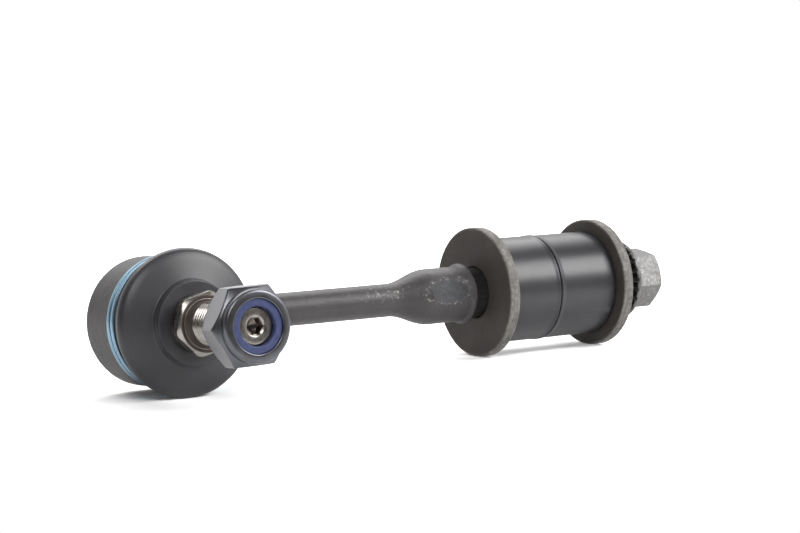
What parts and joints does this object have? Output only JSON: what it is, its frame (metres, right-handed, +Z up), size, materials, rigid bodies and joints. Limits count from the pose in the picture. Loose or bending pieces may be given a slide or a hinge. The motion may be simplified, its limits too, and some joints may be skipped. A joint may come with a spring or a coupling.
{
  "type": "stabilizer link",
  "caption": "Stabilizer link: forged rod with a booted ball stud and lock nut at one end and rubber bushes between washers on a sleeve and flange bolt at the other.",
  "frame": {"origin": "centre of the ball of the ball joint", "axes": "+X along the rod towards the flange bolt, -Y along the ball stud towards the lock nut, +Z up with the link lying on its boot and washers"},
  "size_m": [0.1984, 0.0787, 0.0414],
  "materials": {
    "black_coat": "satin black coat",
    "seat_plastic": "matt",
    "blue_wire": "blue spring wire",
    "boot_rubber": "matt moulded rubber",
    "bare_steel": "bare",
    "plated_steel": "bright plating",
    "nylon": "smooth",
    "dark_zinc": "dark plating",
    "phosphate": "grey phosphate",
    "bush_rubber": "slightly glossy moulded rubber",
    "dark_sleeve": "dark"
  },
  "bodies": {
    "link": {"link_forging": "black_coat", "ball_seat": "seat_plastic", "housing_cap": "black_coat", "boot_clip_ring": "blue_wire"},
    "boot": {"dust_boot": "boot_rubber"},
    "neck": {"boot_neck_ring": "bare_steel"},
    "stud": {"ball_stud": "plated_steel"},
    "nut_ring": {"nylon_insert": "nylon"},
    "nut": {"lock_nut": "dark_zinc"},
    "inner_bush": {"bush_inner": "bush_rubber"},
    "inner_washer": {"washer_inner": "phosphate"},
    "outer_bush": {"bush_outer": "bush_rubber"},
    "outer_washer": {"washer_outer": "phosphate"},
    "sleeve": {"spacer_sleeve": "dark_sleeve"},
    "bolt": {"flange_bolt": "phosphate"}
  },
  "joints": [
    {"name": "stud_swing_side", "type": "hinge", "parent": "link", "child": "boot", "pos_m": [0, 0, 0], "axis": [0, 0, 1], "range_deg": [-18, 18], "deforming": ["dust_boot"]},
    {"name": "stud_swing_up", "type": "hinge", "parent": "boot", "child": "neck", "pos_m": [0, 0, 0], "axis": [-1, 0, 0], "range_deg": [-18, 18], "deforming": ["dust_boot"]},
    {"name": "stud_spin", "type": "hinge", "parent": "neck", "child": "stud", "pos_m": [0, 0, 0], "axis": [0, -1, 0], "continuous": true},
    {"name": "nut_travel", "type": "slide", "parent": "stud", "child": "nut_ring", "axis": [0, -1, 0], "range_m": [-0.016, 0.0075], "deforming": ["nylon_insert"]},
    {"name": "nut_turn", "type": "hinge", "parent": "nut_ring", "child": "nut", "pos_m": [0, 0, 0], "axis": [0, -1, 0], "range_deg": [-4644, 2196]},
    {"name": "inner_bush_slide", "type": "slide", "parent": "link", "child": "inner_bush", "axis": [1, 0, 0], "range_m": [-0.0043, 0]},
    {"name": "inner_washer_turn", "type": "hinge", "parent": "inner_bush", "child": "inner_washer", "pos_m": [0.1091, 0.006, 0], "axis": [1, 0, 0], "continuous": true},
    {"name": "outer_bush_slide", "type": "slide", "parent": "link", "child": "outer_bush", "axis": [1, 0, 0], "range_m": [0, 0.0076]},
    {"name": "outer_washer_turn", "type": "hinge", "parent": "outer_bush", "child": "outer_washer", "pos_m": [0.1531, 0.006, 0], "axis": [1, 0, 0], "continuous": true},
    {"name": "bolt_travel", "type": "slide", "parent": "link", "child": "sleeve", "axis": [1, 0, 0], "range_m": [0, 0.01]},
    {"name": "bolt_turn", "type": "hinge", "parent": "sleeve", "child": "bolt", "pos_m": [0.1642, 0.006, 0], "axis": [1, 0, 0], "range_deg": [0, 2916]}
  ],
  "couplings": [
    {"joint": "nut_turn", "follows": "nut_travel", "rad_per_m": 5026.5},
    {"joint": "bolt_turn", "follows": "bolt_travel", "rad_per_m": 5026.5}
  ]
}
